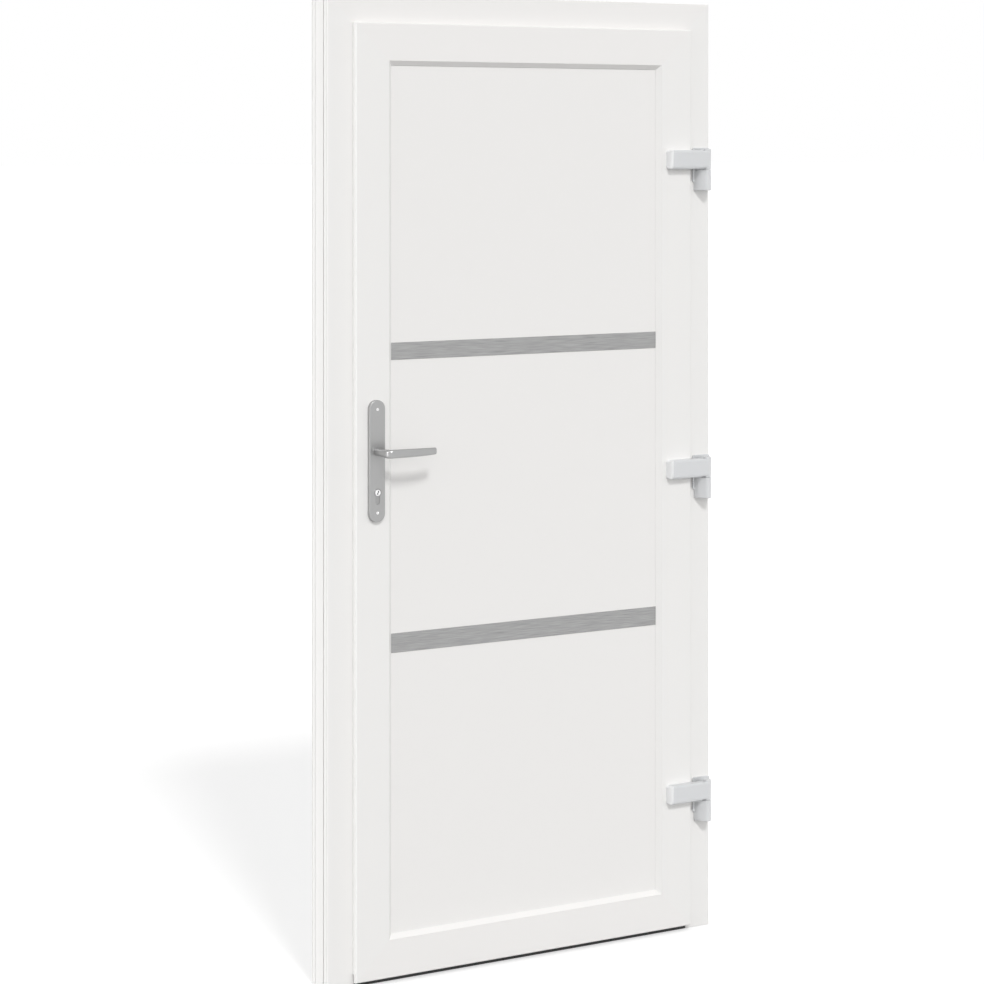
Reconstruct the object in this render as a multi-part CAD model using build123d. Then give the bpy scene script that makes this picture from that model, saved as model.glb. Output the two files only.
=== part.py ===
from build123d import *
import os

# White PVC front door in its frame, seen from the inside: millimetres, +Z up.
# X = 0 is the middle of the frame and +X is the hinge side.
# Y = 0 is the middle of the frame's depth and +Y is the outside.
# Z = 0 is the floor under the jambs and the threshold.

# Frame
frame_width = 980.0
frame_height = 2080.0
frame_depth = 70.0
frame_face = 65.0
frame_stop_reach = 83.0
frame_stop_depth = 22.0
frame_edge_radius = 2.0
front_groove_width = 4.0
front_groove_depth = 7.0
back_groove_width = 2.5
back_groove_depth = 1.5
side_groove_offset = 18.0
side_nick_width = 1.8
side_nick_depth = 1.2
side_nick_offset = 31.0
mitre_spare = 10.0

# Leaf
leaf_margin = 60.0
leaf_bottom = 10.0
leaf_proud = 15.0
lip_thickness = 10.0
lip_reach = 17.0
leaf_face = 79.0
leaf_outer_inset = 29.0
leaf_outer_y = 22.0
leaf_back_y = 8.0
flange_width = 12.0
flange_slope = 8.0
leaf_edge_radius = 2.5

# Infill panel, its beads and its gaskets
panel_recess = 10.5
panel_thickness = 36.0
panel_edge_gap = 3.0
bead_width = 10.5
bead_flat = 0.8
bead_joint = 0.25
bead_nose = 0.8
panel_gasket_thickness = 0.8
panel_gasket_show = 0.4
outer_gasket_thickness = 3.0

# Metal strips across the panel
strip_thickness = 1.2
strip_edge = 0.4
upper_strip_bottom = 1309.2
upper_strip_height = 36.4
lower_strip_bottom = 691.2
lower_strip_height = 40.9

# Threshold
threshold_height = 20.0
threshold_cap_thickness = 2.5
threshold_cap_front = -22.0
threshold_groove_depth = 1.2
threshold_groove_width = 3.0
threshold_groove_count = 4

# Seals between leaf and frame
seal_gap = 0.3
seal_width = 5.0
lip_seal_inset = 0.5
lip_seal_width = 4.0
bottom_seal_width = 10.0
bottom_seal_y = -8.0
bottom_seal_end_gap = 6.0

# Handle set
handle_backset = 46.7
lever_z = 1119.0
plate_width = 37.4
plate_above_lever = 109.0
plate_below_lever = 147.0
plate_thickness = 9.0
plate_edge_radius = 1.8
outside_plate_width = 30.0
neck_radius = 8.0
neck_fit = 0.06
neck_seat = 4.0
neck_straight_share = 0.55
lever_projection = 50.0
lever_reach = 117.8
lever_return = 9.0
grip_bend_start = 0.5
grip_stations = (0, 0.5, 0.75, 1)
grip_edge_flat = 0.1
grip_height_root = 18.0
grip_height_tip = 14.2
grip_thickness_root = 12.0
grip_thickness_tip = 9.0
elbow_radius = 7.2
spindle_side = 8.0
spindle_hole_radius = 11.0
tip_round = 3.0
cylinder_drop = 85.0
cylinder_radius = 8.5
cylinder_tail_width = 10.0
cylinder_height = 33.0
cylinder_sunk = 0.6
cylinder_gap = 0.3
plug_radius = 6.5
plug_fit = 0.05
plug_depth = 12.0
plug_proud = 2.4
plug_bevel = 0.4
keyway_width = 2.2
keyway_step = 1.8
keyway_height = 8.4
keyway_depth = 6.0
keyway_overlap = 0.2

# Lock faceplate on the leaf's edge and strike plate on the jamb
faceplate_width = 20.0
faceplate_height = 260.0
faceplate_thickness = 3.0
faceplate_y = -16.0
latch_width = 12.0
latch_height = 32.0
bolt_height = 38.0
latch_clearance = 0.3

# Hinges
pin_beyond_leaf = 39.0
pin_y = -58.5
pin_radius = 5.0
pin_fit = 0.05
knuckle_radius = 8.5
knuckle_edge = 1.0
knuckle_gap = 0.8
upper_hinge_drop = 312.5
lower_hinge_rise = 278.5
upper_knuckle_height = 45.5
lower_knuckle_height = 47.0
pin_cap_height = 5.0
pin_cap_line = 0.4
hinge_plate_left = 13.5
hinge_plate_right = 1.0
bracket_foot_left = 21.0
bracket_foot_right = 18.0
hinge_plate_below = 28.9
hinge_plate_above = 48.5
hinge_plate_thickness = 4.0
hinge_plate_radius = 5.0
cover_reach = 60.5
cover_pin_inset = 18.2
cover_height = 42.8
cover_proud = 19.5
cover_band_height = 4.5
cover_band_lean = 1.6
cover_foot_lean = 1.0
cover_foot_round = 8.0
cover_overhang_gap = 4.0
scoop_width = 52.0
scoop_rise = 7.0
scoop_depth = 1.1
scoop_centre = 0.62
cap_length = 7.5
cap_corner_radius = 7.0
wing_thickness = 5.0
wing_margin = 5.0
link_inset = 1.2
link_start = 5.0

# Derived planes and half sizes
frame_half = frame_width / 2
leaf_half = frame_half - leaf_margin
leaf_top = frame_height - leaf_margin
frame_in_y = -frame_depth / 2
frame_out_y = frame_depth / 2
leaf_front_y = frame_in_y - leaf_proud
stop_y = frame_out_y - frame_stop_depth
panel_front_y = leaf_front_y + panel_recess
panel_back_y = panel_front_y + panel_thickness
flange_back_y = panel_back_y + outer_gasket_thickness
inner_half = leaf_half - leaf_face
inner_bottom = leaf_bottom + leaf_face
inner_top = leaf_top - leaf_face
leaf_body_half = leaf_half - lip_reach
plate_bottom = lever_z - plate_below_lever
plate_top = lever_z + plate_above_lever
plate_height = plate_top - plate_bottom
cylinder_z = lever_z - cylinder_drop
handle_x = handle_backset - leaf_half
lock_case_z = (lever_z + cylinder_z) / 2
pin_x = leaf_half + pin_beyond_leaf
cover_left = leaf_half - cover_reach
cover_right = pin_x - cover_pin_inset
through = 3 * frame_depth
point_match = 0.01
hinge_seams = {
    "upper": leaf_top - upper_hinge_drop,
    "middle": (leaf_top + leaf_bottom) / 2,
    "lower": leaf_bottom + lower_hinge_rise,
}


def member(start, inward, run, length, profile, reach, mitre_start=True, mitre_end=True):
    """One straight bar of a rectangular ring: profile is (inward, Y), its ends cut at 45 degrees."""
    bar = extrude(Plane(origin=start, x_dir=inward, z_dir=run) * profile, length)
    first = reach if mitre_start else 0
    last = length - reach if mitre_end else length
    corners = [(0, 0), (length, 0), (last, reach), (first, reach)]
    plan = Plane(origin=start, x_dir=run, z_dir=(0, 1, 0))
    prism = extrude(plan * closed_face(corners), through, both=True)
    return (bar & prism).solids()[0]


def ring(half, low, high, profile, reach, square_foot=False):
    """The four bars of a ring, named by side; a square foot leaves out the bottom bar."""
    tall = high - low
    wide = 2 * half
    mitred = not square_foot
    bars = {
        "lock": member((-half, 0, low), (1, 0, 0), (0, 0, 1), tall, profile, reach, mitre_start=mitred),
        "top": member((-half, 0, high), (0, 0, -1), (1, 0, 0), wide, profile, reach),
        "hinge": member((half, 0, high), (-1, 0, 0), (0, 0, -1), tall, profile, reach, mitre_end=mitred),
    }
    if not square_foot:
        bars["bottom"] = member((half, 0, low), (0, 0, 1), (-1, 0, 0), wide, profile, reach)
    return bars


def closed_face(points):
    """Flat face inside a closed line through the points."""
    return make_face(Polyline(points, close=True))


def round_corners(face, points, radius):
    """Rounds the profile corners that stand at the given points."""
    chosen = []
    for x, y in points:
        spot = Vector(x, y, 0)
        chosen += [corner for corner in face.vertices() if (spot - corner.center()).length < point_match]
    return fillet(chosen, radius)


def outer_face(shape, outward):
    """The face that lies furthest out: outward is -1 for the inside and 1 for the outside."""
    return shape.faces().sort_by(Axis.Y)[-1 if outward > 0 else 0]


def frame_profile():
    """L-shaped frame bar: inner face with rebate, outer stop, lengthwise grooves on the wall side."""
    outline = closed_face([
        (0, frame_in_y), (frame_face, frame_in_y), (frame_face, stop_y),
        (frame_stop_reach, stop_y), (frame_stop_reach, frame_out_y), (0, frame_out_y),
    ])
    shape = round_corners(outline, [(0, frame_in_y), (frame_face, frame_in_y)], frame_edge_radius)
    shape = round_corners(shape, [(0, frame_out_y), (frame_stop_reach, frame_out_y)], frame_edge_radius)
    shape = shape - Pos(0, -side_groove_offset) * Rectangle(2 * front_groove_depth, front_groove_width)
    shape = shape - Pos(0, side_groove_offset) * Rectangle(2 * back_groove_depth, back_groove_width)
    for side in (-1, 1):
        shape = shape - Pos(0, side * side_nick_offset) * Rectangle(2 * side_nick_depth, side_nick_width)
    return shape


def leaf_profile():
    """Stepped leaf bar: overlapping lip, body, outer face, and a sloped flange behind the panel."""
    inner = leaf_face
    flange = leaf_face + flange_width
    outline = closed_face([
        (0, leaf_front_y), (inner, leaf_front_y), (inner, flange_back_y),
        (flange, flange_back_y), (flange, leaf_outer_y - flange_slope),
        (inner, leaf_outer_y), (leaf_outer_inset, leaf_outer_y), (leaf_outer_inset, leaf_back_y),
        (lip_reach, leaf_back_y), (lip_reach, leaf_front_y + lip_thickness),
        (0, leaf_front_y + lip_thickness),
    ])
    shape = round_corners(outline, [(0, leaf_front_y)], leaf_edge_radius)
    return round_corners(shape, [(leaf_outer_inset, leaf_outer_y)], leaf_edge_radius)


def bead_profile():
    """Sloped glazing bead with a thin nose, measured from the leaf's inner edge."""
    back = panel_front_y - panel_gasket_thickness
    return closed_face([
        (0, leaf_front_y + bead_joint), (bead_joint, leaf_front_y), (bead_flat, leaf_front_y),
        (bead_width, back - bead_nose), (bead_width, back), (0, back),
    ])


def make_frame():
    """Two jambs and a head, the lock jamb recessed for the strike plate."""
    reach = frame_stop_reach + mitre_spare
    bars = ring(frame_half, 0, frame_height, frame_profile(), reach, square_foot=True)
    pocket = Pos(-(frame_half - frame_face), faceplate_y, lock_case_z)
    plate_cut = pocket * Box(2 * faceplate_thickness, faceplate_width, faceplate_height)
    return bars["lock"] - plate_cut, bars["hinge"], bars["top"]


def make_threshold():
    """Dark base with an aluminium cap, both butted between the jambs."""
    width = 2 * (frame_half - frame_face)
    outer_width = 2 * (frame_half - frame_stop_reach)
    outer_y = (stop_y + frame_out_y) / 2
    base_top = threshold_height - threshold_cap_thickness
    base = Pos(0, (frame_in_y + stop_y) / 2, base_top / 2) * Box(width, stop_y - frame_in_y, base_top)
    base = base + Pos(0, outer_y, base_top / 2) * Box(outer_width, frame_stop_depth, base_top)
    cap_depth = stop_y - threshold_cap_front
    cap_z = base_top + threshold_cap_thickness / 2
    cap = Pos(0, (threshold_cap_front + stop_y) / 2, cap_z) * Box(width, cap_depth, threshold_cap_thickness)
    cap = cap + Pos(0, outer_y, cap_z) * Box(outer_width, frame_stop_depth, threshold_cap_thickness)
    groove = Box(frame_width, threshold_groove_width, 2 * threshold_groove_depth)
    groove_pitch = cap_depth / (threshold_groove_count + 1)
    for index in range(threshold_groove_count):
        cap = cap - Pos(0, threshold_cap_front + groove_pitch * (index + 1), threshold_height) * groove
    return base, cap


def leaf_holes():
    """Holes through the lock stile for the spindle and the profile cylinder."""
    spindle = Pos(handle_x, 0, lever_z) * Rot(90, 0, 0) * Cylinder(spindle_hole_radius, through)
    return spindle + cylinder_shape(0, -through / 2, through / 2)


def cylinder_shape(gap, y_start, y_end):
    """Profile cylinder outline: a round barrel with a narrower tail below it."""
    barrel = Circle(cylinder_radius + gap)
    tail_drop = cylinder_height - cylinder_radius - cylinder_tail_width / 2
    tail = Pos(0, -tail_drop / 2) * Rectangle(cylinder_tail_width + 2 * gap, tail_drop)
    foot = Pos(0, -tail_drop) * Circle(cylinder_tail_width / 2 + gap)
    outline = barrel + tail + foot
    plane = Plane(origin=(handle_x, y_start, cylinder_z), x_dir=(1, 0, 0), z_dir=(0, -1, 0))
    return extrude(plane * outline, -(y_end - y_start))


def make_leaf():
    """Four mitred bars, the lock stile pierced for the handle set and recessed for the faceplate."""
    reach = leaf_face + flange_width + mitre_spare
    bars = ring(leaf_half, leaf_bottom, leaf_top, leaf_profile(), reach)
    recess = Box(2 * faceplate_thickness, faceplate_width, faceplate_height)
    recess = Pos(-leaf_body_half, faceplate_y, lock_case_z) * recess
    bars["lock"] = bars["lock"] - leaf_holes() - recess
    return bars


def make_beads():
    """Four mitred beads round the panel."""
    return ring(inner_half, inner_bottom, inner_top, bead_profile(), bead_width + mitre_spare)


def make_panel():
    """Flat infill panel, held a little clear of the leaf's bars."""
    width = 2 * (inner_half - panel_edge_gap)
    height = inner_top - inner_bottom - 2 * panel_edge_gap
    centre = Pos(0, (panel_front_y + panel_back_y) / 2, (inner_top + inner_bottom) / 2)
    return centre * Box(width, panel_thickness, height)


def picture_frame(half, low, high, width, start_y, end_y):
    """Flat rectangular loop, the shape of every gasket here."""
    middle = Pos(0, (start_y + end_y) / 2, (low + high) / 2)
    outer = Box(2 * half, end_y - start_y, high - low)
    inner = Box(2 * (half - width), through, high - low - 2 * width)
    return middle * (outer - inner)


def make_panel_gaskets():
    """Gasket under the beads and gasket between the panel and the outer flange."""
    half = inner_half - panel_edge_gap
    low = inner_bottom + panel_edge_gap
    high = inner_top - panel_edge_gap
    width = bead_width + panel_gasket_show - panel_edge_gap
    front = picture_frame(half, low, high, width, panel_front_y - panel_gasket_thickness, panel_front_y)
    back = picture_frame(half, low, high, width, panel_back_y, flange_back_y)
    return front, back


def make_strip(bottom, height, face_y, outward):
    """Flat metal strip across the panel's face, its edges lightly bevelled."""
    width = 2 * (inner_half - bead_width - panel_gasket_show)
    bar = Box(width, strip_thickness, height)
    bar = chamfer(outer_face(bar, outward).edges(), strip_edge)
    return Pos(0, face_y + outward * strip_thickness / 2, bottom + height / 2) * bar


def make_lip_seal():
    """Soft seal on the back of the leaf's lip, a hair short of the frame's face."""
    half = leaf_half - lip_seal_inset
    start = leaf_front_y + lip_thickness
    low = leaf_bottom + lip_seal_inset
    loop = picture_frame(half, low, leaf_top - lip_seal_inset, lip_seal_width, start, frame_in_y - seal_gap)
    return loop - Pos(0, 0, leaf_bottom) * Box(2 * leaf_half, through, 2 * lip_reach)


def make_stop_seal():
    """Soft seal on the frame's outer stop, a hair short of the leaf's back."""
    half = frame_half - frame_stop_reach + seal_width
    high = frame_height - frame_stop_reach + seal_width
    loop = picture_frame(half, 0, high, seal_width, leaf_back_y + seal_gap, stop_y)
    return loop - Box(frame_width, through, 2 * threshold_height)


def make_bottom_seal():
    """Drop seal under the bottom rail, a hair above the threshold."""
    top = leaf_bottom + lip_reach
    height = top - threshold_height - seal_gap
    width = 2 * (leaf_body_half - bottom_seal_end_gap)
    return Pos(0, bottom_seal_y, top - height / 2) * Box(width, bottom_seal_width, height)


def backplate(width, face_y, outward):
    """Long plate with round ends, pierced for the lever's neck and the profile cylinder."""
    middle = (handle_x, face_y, (plate_bottom + plate_top) / 2)
    plane = Plane(origin=middle, x_dir=(0, 0, 1), z_dir=(0, outward, 0))
    plate = extrude(plane * SlotOverall(plate_height, width), plate_thickness)
    plate = fillet(outer_face(plate, outward).edges(), plate_edge_radius)
    bore = Pos(handle_x, face_y, lever_z) * Rot(90, 0, 0) * Cylinder(neck_radius + neck_fit, through)
    return plate - bore - cylinder_shape(cylinder_gap, face_y - frame_depth, face_y + frame_depth)


def neck_plane(y, outward):
    """Plane across the lever's neck at a given depth."""
    return Plane(origin=(handle_x, y, lever_z), x_dir=(1, 0, 0), z_dir=(0, outward, 0))


def grip_section(thickness, height):
    """Flat-oval section of the lever."""
    return RectangleRounded(thickness, height, thickness / 2 - grip_edge_flat)


def lever_grip(grip_y, outward):
    """Grip that tapers along its length and bends back to a rounded tip."""
    sections = []
    for share in grip_stations:
        bend = max(0, share - grip_bend_start) / (1 - grip_bend_start)
        thickness = grip_thickness_root + (grip_thickness_tip - grip_thickness_root) * share
        height = grip_height_root + (grip_height_tip - grip_height_root) * share ** 2
        station_x = handle_x + elbow_radius + (lever_reach - elbow_radius) * share
        station_y = grip_y - outward * lever_return * bend ** 2
        plane = Plane(origin=(station_x, station_y, lever_z), x_dir=(0, 1, 0), z_dir=(1, 0, 0))
        sections.append(plane * grip_section(thickness, height))
    grip = loft(sections)
    return fillet(grip.faces().sort_by(Axis.X)[-1].edges(), tip_round)


def lever(face_y, outward):
    """Round neck blended into a quarter-turn elbow that carries the grip."""
    seat = face_y + outward * (plate_thickness - neck_seat)
    elbow_y = face_y + outward * (plate_thickness + lever_projection - elbow_radius)
    straight = abs(elbow_y - seat) * neck_straight_share
    neck = extrude(neck_plane(seat, outward) * Circle(neck_radius), straight)
    neck_end = neck_plane(outer_face(neck, outward).center().Y, outward)
    root = neck_plane(elbow_y, outward) * grip_section(grip_thickness_root, grip_height_root)
    blend = loft([neck_end * Circle(neck_radius), root])
    turn = Axis((handle_x + elbow_radius, elbow_y, lever_z), (0, 0, -outward))
    elbow = revolve(root, turn, 90)
    return neck + blend + elbow + lever_grip(elbow_y + outward * elbow_radius, outward)


def make_spindle():
    """Square bar that joins the two levers through the leaf."""
    seat_in = leaf_front_y - plate_thickness + neck_seat
    seat_out = leaf_outer_y + plate_thickness - neck_seat
    bar = Box(spindle_side, seat_out - seat_in, spindle_side)
    return Pos(handle_x, (seat_in + seat_out) / 2, lever_z) * bar


def make_cylinder():
    """Profile cylinder through the leaf, a hair below the plates' faces, bored for its two plugs."""
    start = leaf_front_y - plate_thickness + cylinder_sunk
    end = leaf_outer_y + plate_thickness - cylinder_sunk
    body = cylinder_shape(0, start, end)
    bore = Rot(90, 0, 0) * Cylinder(plug_radius, 2 * plug_depth)
    for face_y in (start, end):
        body = body - Pos(handle_x, face_y, cylinder_z) * bore
    return body


def make_plug(face_y, outward):
    """Turning plug of the cylinder with its stepped keyway."""
    length = plug_depth + cylinder_sunk + plug_proud
    centre_y = face_y + outward * (plate_thickness + plug_proud - length / 2)
    plug = Pos(handle_x, centre_y, cylinder_z) * Rot(90, 0, 0) * Cylinder(plug_radius - plug_fit, length)
    plug = chamfer(outer_face(plug, outward).edges(), plug_bevel)
    front_y = centre_y + outward * length / 2
    cut = Box(keyway_width, 2 * keyway_depth, keyway_height / 2 + keyway_overlap)
    for side in (-1, 1):
        x = handle_x + side * keyway_step / 2
        z = cylinder_z + side * keyway_height / 4
        plug = plug - Pos(x, front_y, z) * cut
    return plug


def lock_opening(x, height, z):
    """Cut for a tongue of the given height, with its clearance all round."""
    cut = Box(4 * faceplate_thickness, latch_width + 2 * latch_clearance, height + 2 * latch_clearance)
    return Pos(x, faceplate_y, z) * cut


def lock_plate(x):
    """Long flat plate centred on x with openings for the latch and the bolt."""
    plate = Pos(x, faceplate_y, lock_case_z) * Box(faceplate_thickness, faceplate_width, faceplate_height)
    return plate - lock_opening(x, latch_height, lever_z) - lock_opening(x, bolt_height, cylinder_z)


def make_faceplate():
    """Lock faceplate, flush in the edge of the leaf."""
    return lock_plate(-leaf_body_half + faceplate_thickness / 2)


def make_strike():
    """Strike plate, flush in the lock jamb."""
    return lock_plate(-(frame_half - frame_face) - faceplate_thickness / 2)


def lock_tongue(height, z):
    """Latch or bolt, drawn in flush with the faceplate."""
    centre = Pos(-leaf_body_half + faceplate_thickness / 2, faceplate_y, z)
    return centre * Box(faceplate_thickness, latch_width, height)


def soft_cylinder(radius, low, high, edge):
    """Upright cylinder on the hinge's axis with a small bevel at both ends."""
    body = Pos(pin_x, pin_y, (low + high) / 2) * Cylinder(radius, high - low)
    return chamfer(body.edges().filter_by(GeomType.CIRCLE), edge)


def bracket_outline():
    """Plan of the bracket's body: a round knuckle that widens to its foot on the frame."""
    foot_width = bracket_foot_left + bracket_foot_right
    foot_x = pin_x + (bracket_foot_right - bracket_foot_left) / 2
    foot_y = frame_in_y - hinge_plate_thickness / 2
    foot = Pos(foot_x, foot_y) * Rectangle(foot_width, hinge_plate_thickness)
    knuckle = Pos(pin_x, pin_y) * Circle(knuckle_radius)
    return make_hull(foot.edges() + knuckle.edges())


def hinge_bracket(seam):
    """Frame half of a hinge: base plate and a flared body bored for the pin."""
    top = seam - knuckle_gap / 2
    bottom = top - lower_knuckle_height
    flare = Pos(0, 0, bottom) * extrude(bracket_outline(), lower_knuckle_height)
    rims = flare.edges().group_by(Axis.Z)
    flare = chamfer(rims[0] + rims[-1], knuckle_edge)
    left = leaf_half + hinge_plate_left
    right = frame_half - hinge_plate_right
    plate_y = frame_in_y - hinge_plate_thickness / 2
    plate_z = seam + (hinge_plate_above - hinge_plate_below) / 2
    plate = Box(right - left, hinge_plate_thickness, hinge_plate_above + hinge_plate_below)
    plate = Pos((left + right) / 2, plate_y, plate_z) * plate
    plate = fillet(plate.edges().filter_by(Axis.Y), hinge_plate_radius)
    bore = Pos(pin_x, pin_y, (top + bottom) / 2) * Cylinder(pin_radius, 2 * lower_knuckle_height)
    return flare + plate - bore


def hinge_knuckle(seam):
    """Leaf half of a hinge: upper knuckle, link and the wing screwed to the leaf's face."""
    low = seam + knuckle_gap / 2
    high = low + upper_knuckle_height
    wing_left = cover_left + wing_margin
    wing = Box(leaf_half - wing_left, wing_thickness, cover_height - 2 * wing_margin)
    wing = Pos((wing_left + leaf_half) / 2, leaf_front_y - wing_thickness / 2, low + cover_height / 2) * wing
    link_section = offset(cover_section(), -link_inset, kind=Kind.INTERSECTION)
    link = section_bar(link_section, pin_x, pin_x - leaf_half + link_start, seam)
    link = link - frame_clearance(seam)
    knuckle = soft_cylinder(knuckle_radius, low, high, knuckle_edge)
    line = Cylinder(2 * knuckle_radius, pin_cap_line) - Cylinder(knuckle_radius - pin_cap_line, pin_cap_line)
    line = Pos(pin_x, pin_y, high - pin_cap_height) * line
    body = knuckle - line + link + wing
    bore_height = upper_knuckle_height - pin_cap_height
    return body - Pos(pin_x, pin_y, low) * Cylinder(pin_radius + pin_fit, 2 * bore_height)


def hinge_pin(seam):
    """Pin that both halves of a hinge turn on, closed in by the knuckle's top."""
    low = seam - knuckle_gap / 2 - lower_knuckle_height
    high = seam + knuckle_gap / 2 + upper_knuckle_height - pin_cap_height
    return Pos(pin_x, pin_y, (low + high) / 2) * Cylinder(pin_radius, high - low)


def cover_section():
    """Section of the hinge cover (outward, up): leaning band on top, well rounded underneath."""
    foot = cover_proud - cover_foot_lean
    outline = closed_face([
        (0, 0), (foot, 0), (cover_proud, cover_height - cover_band_height),
        (cover_proud - cover_band_lean, cover_height), (0, cover_height),
    ])
    return round_corners(outline, [(foot, 0)], cover_foot_round)


def section_bar(section, start_x, length, seam):
    """Length of a section standing on the leaf's face, running from start_x towards the lock side."""
    start = (start_x, leaf_front_y, seam + knuckle_gap / 2)
    return extrude(Plane(origin=start, x_dir=(0, -1, 0), z_dir=(-1, 0, 0)) * section, length)


def frame_clearance(seam):
    """Space kept free where the leaf half of a hinge reaches over the frame."""
    centre = Pos((leaf_half + frame_half) / 2, leaf_front_y, seam)
    return centre * Box(frame_half - leaf_half, 2 * cover_overhang_gap, through)


def hinge_cover(seam):
    """Cover over the wing and the link, ending beside the knuckle."""
    cover = section_bar(cover_section(), cover_right, cover_right - cover_left, seam)
    return cover - frame_clearance(seam) - cover_scoop(seam) - hinge_knuckle(seam)


def cover_scoop(seam):
    """Shallow arched finger recess along the cover's lower edge."""
    radius = ((scoop_width / 2) ** 2 + scoop_rise ** 2) / (2 * scoop_rise)
    bite = cover_foot_lean + scoop_depth
    x = cover_left + (cover_right - cover_left) * scoop_centre
    z = seam + knuckle_gap / 2 + scoop_rise - radius
    return Pos(x, leaf_front_y - cover_proud, z) * Rot(90, 0, 0) * Cylinder(radius, 2 * bite)


def hinge_cap(seam):
    """End cap that rounds the cover off towards the middle of the door."""
    nose = extrude(Ellipse(cap_length, cover_proud), through, both=True)
    nose = Pos(cover_left, leaf_front_y, seam) * nose
    middle = (cover_left, leaf_front_y, seam + knuckle_gap / 2 + cover_height / 2)
    face = Plane(origin=middle, x_dir=(1, 0, 0), z_dir=(0, -1, 0))
    rounded = extrude(face * RectangleRounded(2 * cap_length, cover_height, cap_corner_radius), cover_proud)
    return section_bar(cover_section(), cover_left, cap_length, seam) & nose & rounded


def save(name, shape):
    """Writes one node's STEP file."""
    export_step(shape, os.path.join("parts", name + ".step"))


def save_frame():
    """The pieces that stand still, apart from the hinges' frame halves."""
    jamb_lock, jamb_hinge, head = make_frame()
    save("frame_jamb_lock", jamb_lock)
    save("frame_jamb_hinge", jamb_hinge)
    save("frame_head", head)
    base, cap = make_threshold()
    save("threshold_base", base)
    save("threshold_cap", cap)
    save("frame_stop_seal", make_stop_seal())
    save("strike_plate", make_strike())


def save_leaf():
    """The leaf's bars, panel, beads, strips and seals."""
    leaf = make_leaf()
    save("leaf_stile_lock", leaf["lock"])
    save("leaf_stile_hinge", leaf["hinge"])
    save("leaf_rail_top", leaf["top"])
    save("leaf_rail_bottom", leaf["bottom"])
    beads = make_beads()
    for side, bead in beads.items():
        save("bead_" + side, bead)
    save("door_panel", make_panel())
    gasket_inside, gasket_outside = make_panel_gaskets()
    save("panel_gasket_inside", gasket_inside)
    save("panel_gasket_outside", gasket_outside)
    for side, face_y, outward in (("inside", panel_front_y, -1), ("outside", panel_back_y, 1)):
        save("strip_upper_" + side, make_strip(upper_strip_bottom, upper_strip_height, face_y, outward))
        save("strip_lower_" + side, make_strip(lower_strip_bottom, lower_strip_height, face_y, outward))
    save("leaf_lip_seal", make_lip_seal())
    save("leaf_bottom_seal", make_bottom_seal())


def save_handle_set():
    """Plates, levers, cylinder and the lock's pieces in the leaf's edge."""
    save("backplate_inside", backplate(plate_width, leaf_front_y, -1))
    save("backplate_outside", backplate(outside_plate_width, leaf_outer_y, 1))
    save("lock_cylinder", make_cylinder())
    save("lock_plugs", Compound([make_plug(leaf_front_y, -1), make_plug(leaf_outer_y, 1)]))
    save("lock_faceplate", make_faceplate())
    save("lock_latch", lock_tongue(latch_height, lever_z))
    save("lock_bolt", lock_tongue(bolt_height, cylinder_z))
    save("lever_inside", lever(leaf_front_y, -1))
    save("lever_outside", lever(leaf_outer_y, 1))
    save("lever_spindle", make_spindle())


def save_hinges():
    """Three alike hinges, each with its halves, cover, end cap and pin."""
    for name, seam in hinge_seams.items():
        save("hinge_bracket_" + name, hinge_bracket(seam))
        save("hinge_knuckle_" + name, hinge_knuckle(seam))
        save("hinge_cover_" + name, hinge_cover(seam))
    save("hinge_pins", Compound([hinge_pin(seam) for seam in hinge_seams.values()]))
    save("hinge_end_caps", Compound([hinge_cap(seam) for seam in hinge_seams.values()]))


def main():
    os.makedirs("parts", exist_ok=True)
    save_frame()
    save_leaf()
    save_handle_set()
    save_hinges()


main()
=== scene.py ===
import math

import bpy
import bmesh
from mathutils import Matrix, Vector


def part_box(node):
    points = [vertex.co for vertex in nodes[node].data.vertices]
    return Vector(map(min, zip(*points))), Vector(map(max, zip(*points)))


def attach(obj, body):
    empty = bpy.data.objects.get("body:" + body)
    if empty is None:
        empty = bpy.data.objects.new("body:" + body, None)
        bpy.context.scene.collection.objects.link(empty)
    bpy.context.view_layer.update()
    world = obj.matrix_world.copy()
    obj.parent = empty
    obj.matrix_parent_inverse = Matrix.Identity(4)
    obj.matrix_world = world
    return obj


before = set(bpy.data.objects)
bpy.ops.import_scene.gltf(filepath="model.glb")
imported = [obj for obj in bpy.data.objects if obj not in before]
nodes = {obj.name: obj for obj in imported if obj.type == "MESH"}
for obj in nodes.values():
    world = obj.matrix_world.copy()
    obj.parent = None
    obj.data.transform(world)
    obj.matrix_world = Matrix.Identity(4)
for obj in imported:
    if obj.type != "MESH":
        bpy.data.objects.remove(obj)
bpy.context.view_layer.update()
scene = bpy.context.scene


# Shader helpers

GRAIN_DETAIL = 4.0
RELIEF_DEPTH = 0.0005
SMOOTHEST = 0.02


def grain_noise(tree, stretch, scale):
    """Fine noise that is fixed to the piece and stretched along its grain."""
    coords = tree.nodes.new("ShaderNodeTexCoord")
    mapping = tree.nodes.new("ShaderNodeMapping")
    mapping.inputs["Scale"].default_value = stretch
    noise = tree.nodes.new("ShaderNodeTexNoise")
    noise.inputs["Scale"].default_value = scale
    noise.inputs["Detail"].default_value = GRAIN_DETAIL
    tree.links.new(coords.outputs["Object"], mapping.inputs["Vector"])
    tree.links.new(mapping.outputs["Vector"], noise.inputs["Vector"])
    return noise.outputs["Fac"]


def color_between(tree, factor, first, last):
    """Colour that goes from first to last with the factor."""
    mix = tree.nodes.new("ShaderNodeMix")
    mix.data_type = "RGBA"
    mix.inputs["A"].default_value = (*first, 1)
    mix.inputs["B"].default_value = (*last, 1)
    tree.links.new(factor, mix.inputs["Factor"])
    return mix.outputs["Result"]


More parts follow.
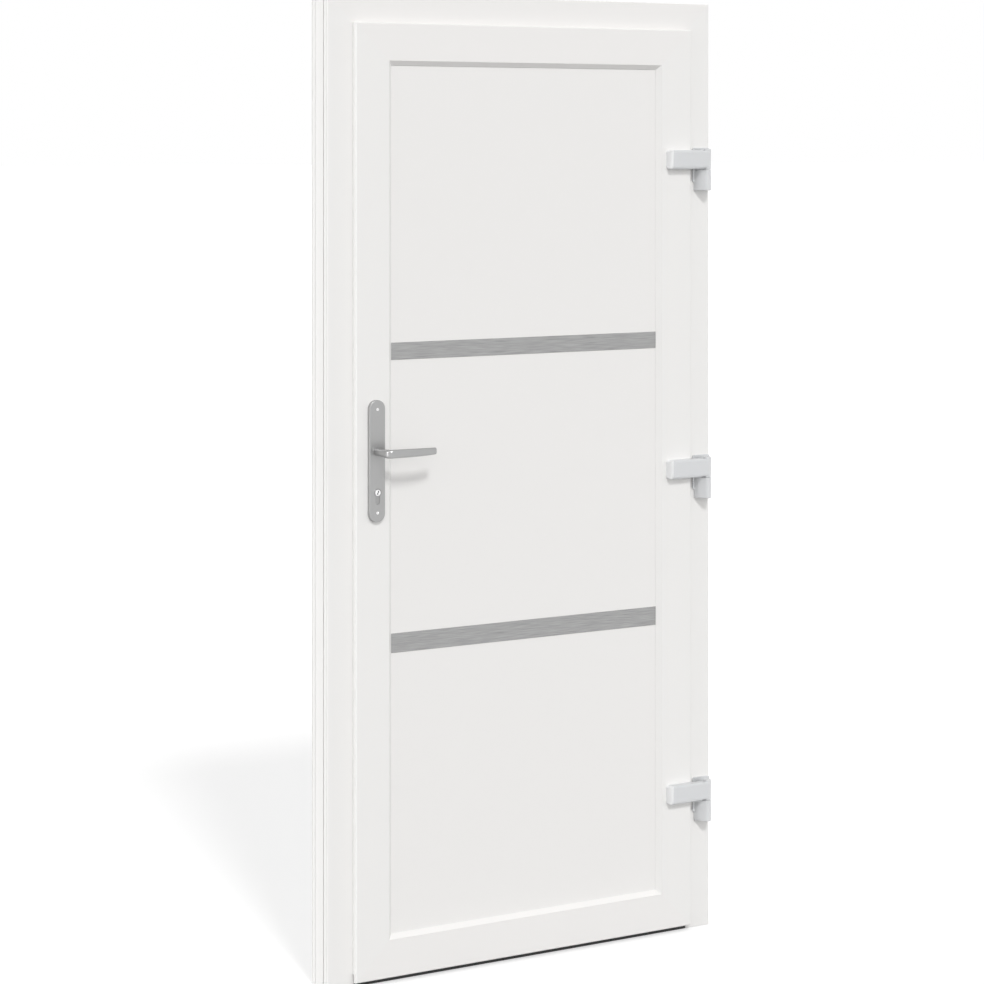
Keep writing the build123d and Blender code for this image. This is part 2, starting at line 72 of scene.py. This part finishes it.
def ramp(tree, value, first, last, start=0.0, end=1.0):
    """Steady change from first to last while value goes from start to end."""
    span = tree.nodes.new("ShaderNodeMapRange")
    for socket, amount in (("From Min", start), ("From Max", end), ("To Min", first), ("To Max", last)):
        span.inputs[socket].default_value = amount
    tree.links.new(value, span.inputs["Value"])
    return span.outputs["Result"]


def combine(tree, operation, first, second):
    """Two values joined by a math operation, such as MULTIPLY or MAXIMUM."""
    both = tree.nodes.new("ShaderNodeMath")
    both.operation = operation
    tree.links.new(first, both.inputs[0])
    tree.links.new(second, both.inputs[1])
    return both.outputs[0]


def shown_ray(tree):
    """Factor that is 1 for what the camera sees directly, in a mirror or through glass."""
    path = tree.nodes.new("ShaderNodeLightPath").outputs
    seen = combine(tree, "MAXIMUM", path["Is Camera Ray"], path["Is Glossy Ray"])
    return combine(tree, "MAXIMUM", seen, path["Is Transmission Ray"])


# Materials

def surface(name, color, rough, metallic=0.0, speckle=0.02, bump=0.02, rough_spread=0.05,
            grain=(1, 1, 1), grain_scale=400.0):
    """A surface whose colour, roughness and relief vary a little with fine procedural grain."""
    material = bpy.data.materials.new(name)
    material.use_nodes = True
    tree = material.node_tree
    tree.nodes.clear()
    out = tree.nodes.new("ShaderNodeOutputMaterial")
    shader = tree.nodes.new("ShaderNodeBsdfPrincipled")
    noise = grain_noise(tree, grain, grain_scale)
    dark = [channel * (1 - speckle) for channel in color]
    light = [min(1.0, channel * (1 + speckle)) for channel in color]
    tint = color_between(tree, noise, dark, light)
    spread = ramp(tree, noise, max(SMOOTHEST, rough - rough_spread), min(1.0, rough + rough_spread))
    relief = tree.nodes.new("ShaderNodeBump")
    relief.inputs["Strength"].default_value = bump
    relief.inputs["Distance"].default_value = RELIEF_DEPTH
    tree.links.new(noise, relief.inputs["Height"])
    tree.links.new(tint, shader.inputs["Base Color"])
    tree.links.new(spread, shader.inputs["Roughness"])
    tree.links.new(relief.outputs["Normal"], shader.inputs["Normal"])
    shader.inputs["Metallic"].default_value = metallic
    tree.links.new(shader.outputs["BSDF"], out.inputs["Surface"])
    return material


# Painted shade: the level bars get a touch darker, warmer white than the upright ones, standing in for
# light falling differently on level and upright bars of the one PVC
upright_white = surface("upright_white_pvc", (0.822, 0.814, 0.801), rough=0.30, speckle=0.008, bump=0.03)
level_white_painted_shade = surface("level_pvc_painted_shade", (0.822, 0.809, 0.796), rough=0.30, speckle=0.008, bump=0.03)
panel_white = surface("panel_white", (0.813, 0.802, 0.789), rough=0.34, speckle=0.008, bump=0.03)
cap_plastic = surface("hinge_cap_plastic", (0.79, 0.795, 0.80), rough=0.30, speckle=0.01)

seal = surface("grey_seal", (0.62, 0.62, 0.61), rough=0.6, speckle=0.04, bump=0.15)
pale_seal = surface("pale_seal", (0.80, 0.80, 0.79), rough=0.5, bump=0.1)

black = surface("threshold_black", (0.03, 0.03, 0.03), rough=0.6, speckle=0.1, bump=0.2)
sill_metal = surface("threshold_aluminium", (0.6, 0.6, 0.61), rough=0.35, metallic=1.0, speckle=0.06,
                     grain=(1, 40, 40))
strip_metal = surface("brushed_strip", (0.368, 0.368, 0.367), rough=0.48, metallic=0.85, speckle=0.5,
                      bump=0.1, rough_spread=0.12, grain=(0.35, 14, 14), grain_scale=60)

handle_metal = surface("satin_handle", (0.405, 0.405, 0.404), rough=0.36, metallic=0.9, speckle=0.03,
                       grain_scale=900)
cylinder_metal = surface("cylinder_metal", (0.35, 0.35, 0.35), rough=0.38, metallic=0.9, speckle=0.03)
bright_metal = surface("bright_metal", (0.90, 0.90, 0.90), rough=0.14, metallic=1.0)
steel = surface("plain_steel", (0.60, 0.60, 0.61), rough=0.3, metallic=1.0, speckle=0.04)
hinge_silver = surface("hinge_silver", (0.65, 0.66, 0.67), rough=0.34, metallic=0.35, grain_scale=900)
# Near-black, painted shade for the dark depth of the keyways
keyway_painted_shade = surface("keyway_painted_shade", (0.03, 0.03, 0.03), rough=0.5, metallic=0.5, speckle=0.1)

# The first entry that a node's name starts with gives its material
FINISHES = {
    "frame_jamb": upright_white,
    "frame_head": level_white_painted_shade,
    "frame_stop_seal": seal,
    "leaf_stile": upright_white,
    "leaf_rail": level_white_painted_shade,
    "leaf_lip_seal": pale_seal,
    "leaf_bottom_seal": seal,
    "bead_top": level_white_painted_shade,
    "bead_bottom": level_white_painted_shade,
    "bead_": upright_white,
    "door_panel": panel_white,
    "panel_gasket": pale_seal,
    "strip_": strip_metal,
    "threshold_base": black,
    "threshold_cap": sill_metal,
    "backplate": handle_metal,
    "lever_spindle": steel,
    "lever_": handle_metal,
    "lock_cylinder": cylinder_metal,
    "lock_plugs": bright_metal,
    "lock_": steel,
    "strike_plate": steel,
    "hinge_pins": steel,
    "hinge_end_caps": cap_plastic,
    "hinge_": hinge_silver,
}


def finish_of(name):
    """The material that the table above gives to a node."""
    return next(material for start, material in FINISHES.items() if name.startswith(start))


for name, node in nodes.items():
    node.data.materials.clear()
    node.data.materials.append(finish_of(name))


# Screw heads, in metres. The profile and the recess are shares of a head's radius and height

SCREW_SIDES = 32
SCREW_PROFILE = ((1.0, 0.0), (1.0, 0.12), (0.9, 0.45), (0.72, 0.72), (0.5, 0.88), (0.25, 0.97))
RECESS_LENGTH = 1.1
RECESS_WIDTH = 0.24
RECESS_DEPTH = 1.3


def object_from(name, mesh):
    """An object in the scene made from a bmesh, which is freed."""
    data = bpy.data.meshes.new(name)
    mesh.to_mesh(data)
    mesh.free()
    made = bpy.data.objects.new(name, data)
    scene.collection.objects.link(made)
    return made


def domed_disc(radius, height):
    """Closed disc with a screw head's profile, standing on the origin."""
    mesh = bmesh.new()
    loops = []
    for out, up in SCREW_PROFILE:
        loop = []
        for step in range(SCREW_SIDES):
            turn = 2 * math.pi * step / SCREW_SIDES
            x = out * radius * math.cos(turn)
            y = out * radius * math.sin(turn)
            loop.append(mesh.verts.new((x, y, up * height)))
        loops.append(loop)
    for low, high in zip(loops, loops[1:]):
        for step in range(SCREW_SIDES):
            after = (step + 1) % SCREW_SIDES
            mesh.faces.new((low[step], low[after], high[after], high[step]))
    mesh.faces.new(loops[-1])
    mesh.faces.new(list(reversed(loops[0])))
    return mesh


def crossed_blades(radius, height):
    """Two blades crossing at the top of a screw head, which cut its recess."""
    mesh = bmesh.new()
    blade = Matrix.Diagonal((RECESS_LENGTH * radius, RECESS_WIDTH * radius, RECESS_DEPTH * height, 1))
    for turn in (0, math.pi / 2):
        place = Matrix.Translation((0, 0, height)) @ Matrix.Rotation(turn, 4, "Z")
        bmesh.ops.create_cube(mesh, size=1, matrix=place @ blade)
    return mesh


def cross_screw(name, radius, height):
    """Mesh of a raised screw head with a cross recess, its seat at the origin and facing +Z."""
    head = object_from(name, domed_disc(radius, height))
    knife = object_from(name + "_cut", crossed_blades(radius, height))
    cut = head.modifiers.new("recess", "BOOLEAN")
    cut.operation = "DIFFERENCE"
    cut.object = knife
    cut.use_self = True
    bpy.context.view_layer.update()
    cut_head = head.evaluated_get(bpy.context.evaluated_depsgraph_get())
    shaped = bpy.data.meshes.new_from_object(cut_head)
    for unused in (head, knife):
        bpy.data.objects.remove(unused)
    shaped.name = name
    return shaped


def place_screw(name, mesh, spot, facing, body, finish, roll):
    """A screw head standing on spot and facing that way, riding on a body."""
    material, slot = finish
    data = mesh.copy()
    turn = Vector(facing).to_track_quat("Z", "Y").to_matrix().to_4x4() @ Matrix.Rotation(roll, 4, "Z")
    data.transform(Matrix.Translation(spot) @ turn)
    data.materials.clear()
    data.materials.append(material)
    for face in data.polygons:
        face.use_smooth = True
    screw = bpy.data.objects.new(name, data)
    scene.collection.objects.link(screw)
    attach(screw, body)


# Where the screws sit, in metres from the edges of their plates, and how far each is turned, in radians

PLATE_SCREW_INSET = 0.0195
PLATE_SCREW_ROLLS = {"upper": 0.35, "lower": 1.0}
LOCK_SCREW_INSET = 0.009
FACEPLATE_SCREW_ROLL = 0.4
STRIKE_SCREW_ROLL = 0.9
BRACKET_PLATE = 0.004
BRACKET_SCREW_LEFT = 0.009
BRACKET_SCREW_RIGHT = 0.008
BRACKET_SCREW_DROPS = {"high": 0.0105, "low": 0.0355}
BRACKET_ROLL = 0.97
BRACKET_ROLL_BY_X = 9
BRACKET_ROLL_BY_DROP = 20

plate_screw = cross_screw("plate_screw", radius=0.0033, height=0.0012)
flat_screw = cross_screw("flat_screw", radius=0.0034, height=0.0006)
bright_finish = (bright_metal, "cylinder_metal")
plain_finish = (steel, "plain_steel")

plug_low, plug_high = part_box("lock_plugs")
plug_centre = (plug_low + plug_high) / 2


def screw_handle_plates():
    """Two bright screws near the ends of each handle plate, in line with the cylinder."""
    low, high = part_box("backplate_inside")
    outside_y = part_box("backplate_outside")[1].y
    heights = {"upper": high.z - PLATE_SCREW_INSET, "lower": low.z + PLATE_SCREW_INSET}
    for side, face_y, facing in (("inside", low.y, -1), ("outside", outside_y, 1)):
        for place, z in heights.items():
            place_screw("backplate_screw_" + side + "_" + place, plate_screw, (plug_centre.x, face_y, z),
                        (0, facing, 0), "leaf", bright_finish, PLATE_SCREW_ROLLS[place])


def screw_lock_plates():
    """Two screws in the lock faceplate and, opposite them, two in the strike plate."""
    low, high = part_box("lock_faceplate")
    strike_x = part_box("strike_plate")[1].x
    y = (low.y + high.y) / 2
    for place, z in (("upper", high.z - LOCK_SCREW_INSET), ("lower", low.z + LOCK_SCREW_INSET)):
        place_screw("faceplate_screw_" + place, flat_screw, (low.x, y, z),
                    (-1, 0, 0), "leaf", plain_finish, FACEPLATE_SCREW_ROLL)
        place_screw("strike_screw_" + place, flat_screw, (strike_x, y, z),
                    (1, 0, 0), "frame", plain_finish, STRIKE_SCREW_ROLL)


def bracket_screw_roll(x, drop):
    """A turn that differs between the screws of a bracket, as screws driven by hand have."""
    return BRACKET_ROLL + BRACKET_ROLL_BY_X * x - BRACKET_ROLL_BY_DROP * drop


def screw_hinge_bracket(hinge):
    """Four screws in the base plate of a hinge's frame bracket."""
    low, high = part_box("hinge_bracket_" + hinge)
    face_y = high.y - BRACKET_PLATE
    for side, x in (("left", low.x + BRACKET_SCREW_LEFT), ("right", high.x - BRACKET_SCREW_RIGHT)):
        for place, drop in BRACKET_SCREW_DROPS.items():
            place_screw("hinge_screw_" + hinge + "_" + side + "_" + place, flat_screw,
                        (x, face_y, high.z - drop), (0, -1, 0), "frame", plain_finish,
                        bracket_screw_roll(x, drop))


screw_handle_plates()
screw_lock_plates()
for hinge in ("upper", "middle", "lower"):
    screw_hinge_bracket(hinge)


# Near-black blocks inside the stepped keyways, painted shade for the keyways' dark depth, in metres

SHADE_BLOCK_SIZE = (0.0021, 0.0049, 0.0041)
SHADE_BLOCK_STEP = 0.0009
SHADE_BLOCK_LIFT = 0.0021
SHADE_BLOCK_DEPTH = 0.0035


def keyway_shade_fill(side, front_y, outward):
    """Two stepped near-black blocks that fill one keyway behind its mouth, painted shade for the keyway's
    dark depth.
    """
    mesh = bmesh.new()
    for step in (-1, 1):
        spot = (plug_centre.x + step * SHADE_BLOCK_STEP, front_y - outward * SHADE_BLOCK_DEPTH,
                plug_centre.z + step * SHADE_BLOCK_LIFT)
        size = Matrix.Diagonal((*SHADE_BLOCK_SIZE, 1))
        bmesh.ops.create_cube(mesh, size=1, matrix=Matrix.Translation(spot) @ size)
    painted_shade_blocks = object_from("keyway_shade_fill_" + side, mesh)
    painted_shade_blocks.data.materials.append(keyway_painted_shade)
    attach(painted_shade_blocks, "leaf")


keyway_shade_fill("inside", plug_low.y, -1)
keyway_shade_fill("outside", plug_high.y, 1)


# Softened corners, which also leave a fine line at the welded mitres

SOFTENED = ("frame_jamb", "frame_head", "leaf_stile", "leaf_rail", "bead_")
SOFT_WIDTH = 0.0003
SOFT_ANGLE = 40


def soften(node):
    """One small flat bevel along the piece's sharp edges."""
    bevel = node.modifiers.new("soft", "BEVEL")
    bevel.width = SOFT_WIDTH
    bevel.segments = 1
    bevel.limit_method = "ANGLE"
    bevel.angle_limit = math.radians(SOFT_ANGLE)
    bevel.harden_normals = False


for name, node in nodes.items():
    if name.startswith(SOFTENED):
        soften(node)


# Floor, darker to the light that bounces off it than to the camera, which sees it white

FLOOR_SIZE = 400
FLOOR_DROP = 0.0005
FLOOR_ROUGHNESS = 0.9
FLOOR_BOUNCE = (0.38, 0.38, 0.38)
FLOOR_SHOWN = (0.72, 0.72, 0.72)
FLOOR_GLOW = 0.36


def floor_finish():
    """Matt pale floor that keeps the shadow and glows a little where it is seen."""
    material = bpy.data.materials.new("floor")
    material.use_nodes = True
    tree = material.node_tree
    shader = tree.nodes["Principled BSDF"]
    shader.inputs["Roughness"].default_value = FLOOR_ROUGHNESS
    shader.inputs["Specular IOR Level"].default_value = 0.0
    shader.inputs["Emission Color"].default_value = (1, 1, 1, 1)
    shown = shown_ray(tree)
    tree.links.new(color_between(tree, shown, FLOOR_BOUNCE, FLOOR_SHOWN), shader.inputs["Base Color"])
    tree.links.new(ramp(tree, shown, 0.0, FLOOR_GLOW), shader.inputs["Emission Strength"])
    return material


bpy.ops.mesh.primitive_plane_add(size=FLOOR_SIZE, location=(0, 0, -FLOOR_DROP))
floor = bpy.context.object
floor.name = "floor"
floor.data.materials.append(floor_finish())


# World. Each pair is the light's strength at the start and the end of a direction

LIGHT_LEFT_TO_RIGHT = (1.05, 0.93)
LIGHT_LEVEL_TO_BEHIND = (1.0, 1.45)
LIGHT_LEVEL_TO_TOP = (1.67, 0.16)
BACKDROP_STRENGTH = 1.0


def white_background(tree):
    """A white background shader."""
    background = tree.nodes.new("ShaderNodeBackground")
    background.inputs["Color"].default_value = (1, 1, 1, 1)
    return background


def studio_world():
    """Soft light, stronger low down, from the left and from behind, and plain white where it is seen."""
    world = bpy.data.worlds.new("studio")
    world.use_nodes = True
    tree = world.node_tree
    tree.nodes.clear()
    out = tree.nodes.new("ShaderNodeOutputWorld")
    coords = tree.nodes.new("ShaderNodeTexCoord")
    parts = tree.nodes.new("ShaderNodeSeparateXYZ")
    tree.links.new(coords.outputs["Generated"], parts.inputs["Vector"])
    across = ramp(tree, parts.outputs["X"], *LIGHT_LEFT_TO_RIGHT, start=-1.0)
    behind = ramp(tree, parts.outputs["Y"], *LIGHT_LEVEL_TO_BEHIND)
    upward = ramp(tree, parts.outputs["Z"], *LIGHT_LEVEL_TO_TOP)
    strength = combine(tree, "MULTIPLY", combine(tree, "MULTIPLY", across, behind), upward)
    light = white_background(tree)
    tree.links.new(strength, light.inputs["Strength"])
    backdrop = white_background(tree)
    backdrop.inputs["Strength"].default_value = BACKDROP_STRENGTH
    mix = tree.nodes.new("ShaderNodeMixShader")
    tree.links.new(shown_ray(tree), mix.inputs["Fac"])
    tree.links.new(light.outputs["Background"], mix.inputs[1])
    tree.links.new(backdrop.outputs["Background"], mix.inputs[2])
    tree.links.new(mix.outputs["Shader"], out.inputs["Surface"])
    return world


scene.world = studio_world()


# Lamps

def sun(name, direction, strength, angle):
    """A distant lamp shining along direction, its softness given by its angle in degrees."""
    data = bpy.data.lights.new(name, "SUN")
    data.energy = strength
    data.angle = math.radians(angle)
    lamp = bpy.data.objects.new(name, data)
    lamp.rotation_euler = Vector(direction).to_track_quat("-Z", "Y").to_euler()
    scene.collection.objects.link(lamp)


sun("key", direction=(0.18, 0.68, -0.62), strength=1.32, angle=9.5)
sun("side", direction=(1.0, -0.03, -0.1), strength=0.71, angle=3)


# Camera, level and fitted to the photograph. Places are in metres, the heading in degrees, the lens in mm

CAMERA_PLACE = (-3.3491, -5.2959, 1.7657)
CAMERA_HEADING = -31.806
CAMERA_LENS = 105.03
CAMERA_SENSOR = 36
CAMERA_SHIFT = -0.3542
CAMERA_REACH = 1000

camera_data = bpy.data.cameras.new("camera")
camera_data.lens = CAMERA_LENS
camera_data.sensor_width = CAMERA_SENSOR
camera_data.shift_y = CAMERA_SHIFT
camera_data.clip_end = CAMERA_REACH
camera = bpy.data.objects.new("camera", camera_data)
camera.location = CAMERA_PLACE
camera.rotation_euler = (math.radians(90), 0, math.radians(CAMERA_HEADING))
scene.collection.objects.link(camera)
scene.camera = camera
scene.view_settings.view_transform = "Standard"
